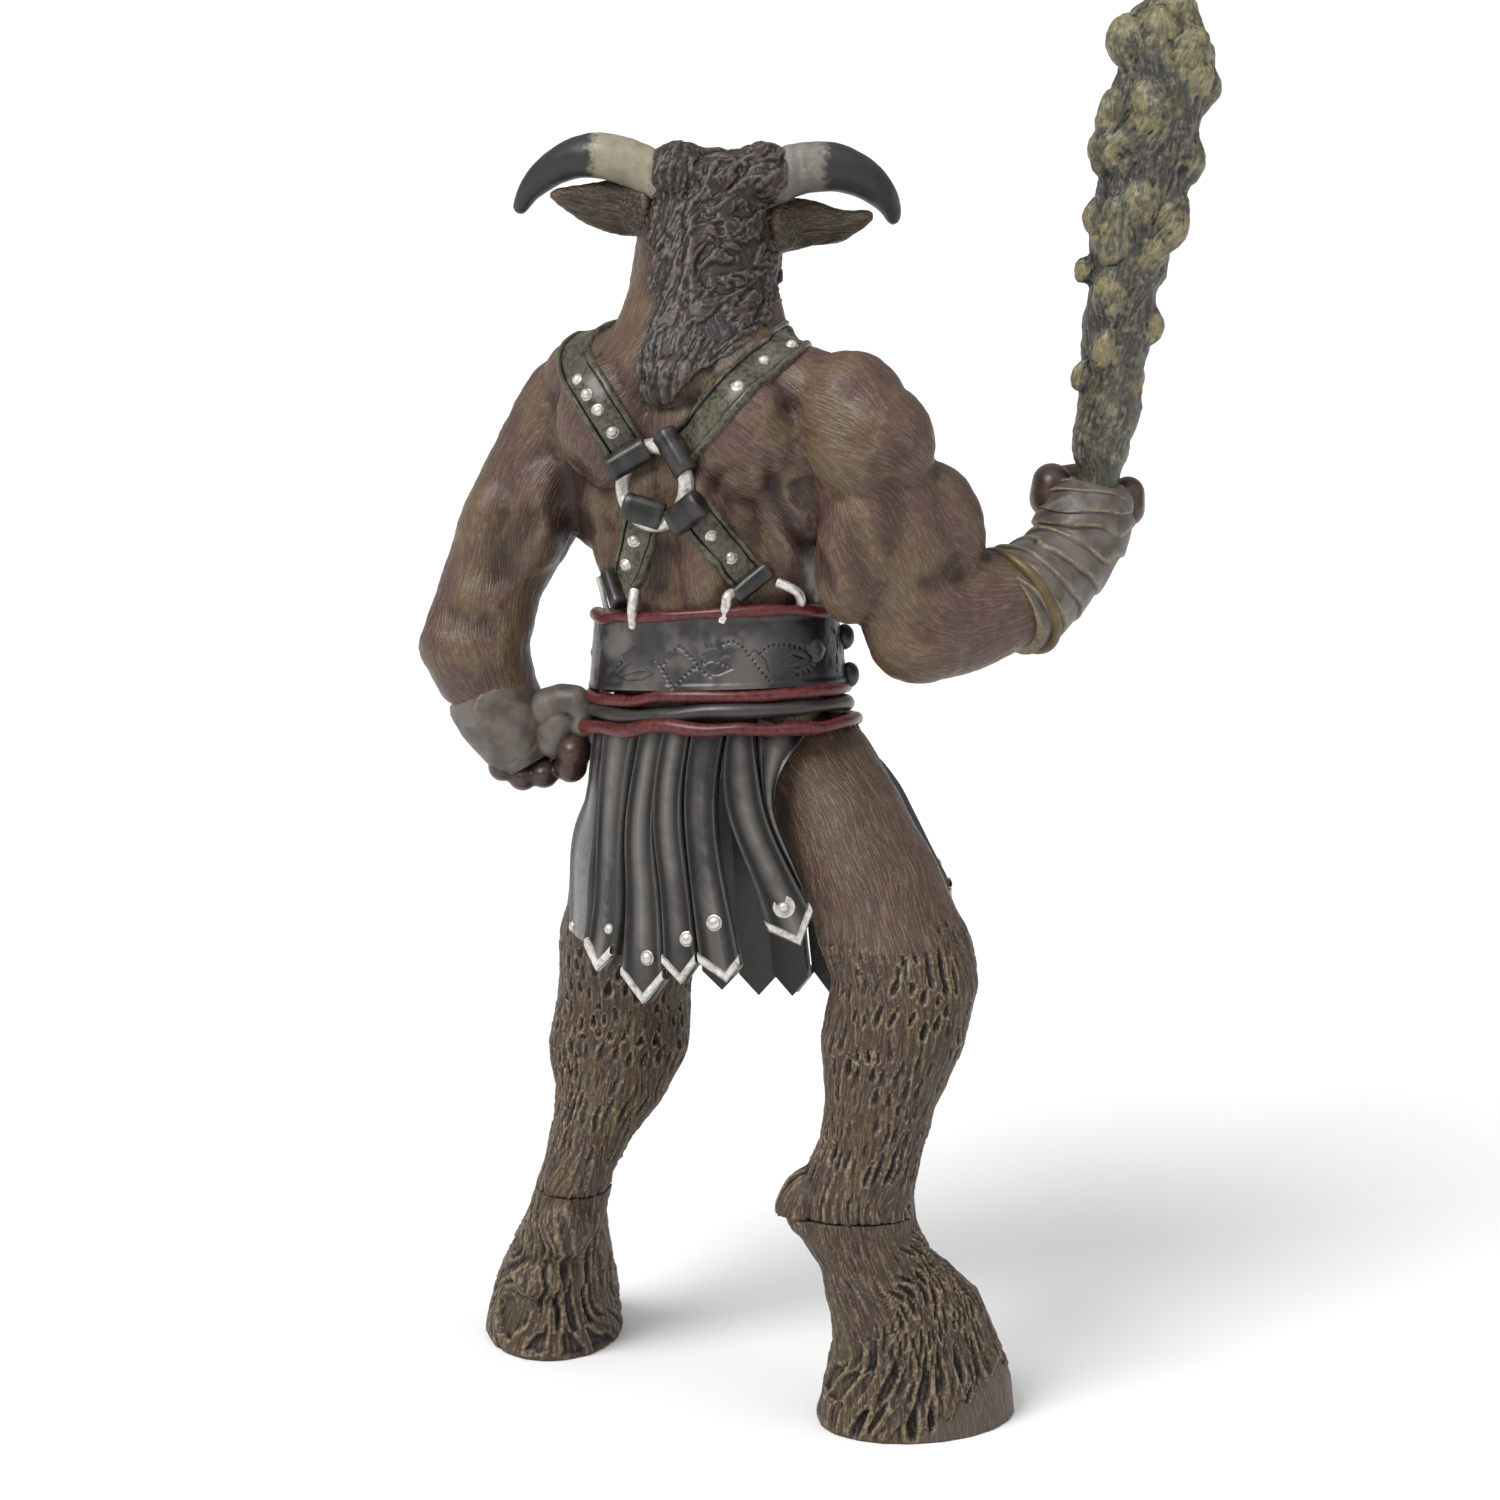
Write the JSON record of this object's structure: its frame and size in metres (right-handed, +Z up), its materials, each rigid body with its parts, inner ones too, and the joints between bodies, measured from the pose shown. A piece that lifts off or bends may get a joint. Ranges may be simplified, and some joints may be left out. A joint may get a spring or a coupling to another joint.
{
  "type": "minotaur statue",
  "caption": "Painted plastic toy figurine of a minotaur standing on two hooves in a leather harness, belt and strip skirt, one fist on the hip and a branch club raised.",
  "frame": {"origin": "centre of the bounding box on the floor plane, at the level of the two soles", "axes": "+Z up along the standing height, +Y the way the head faces, +X towards the figure's right hand and its club"},
  "size_m": [0.0788, 0.0508, 0.1391],
  "materials": {
    "skin": "hand-painted PVC with a slight satin sheen: warm brown with a dark wash in the grooves and an olive-tan dry brush on the high places",
    "wood": "PVC painted as a knobbly branch, dark grooves and pale olive-tan knobs"
  },
  "bodies": {
    "root": {"minotaur": "skin", "right_lower_leg": "skin", "left_lower_leg": "skin", "club": "wood"}
  },
  "joints": []
}
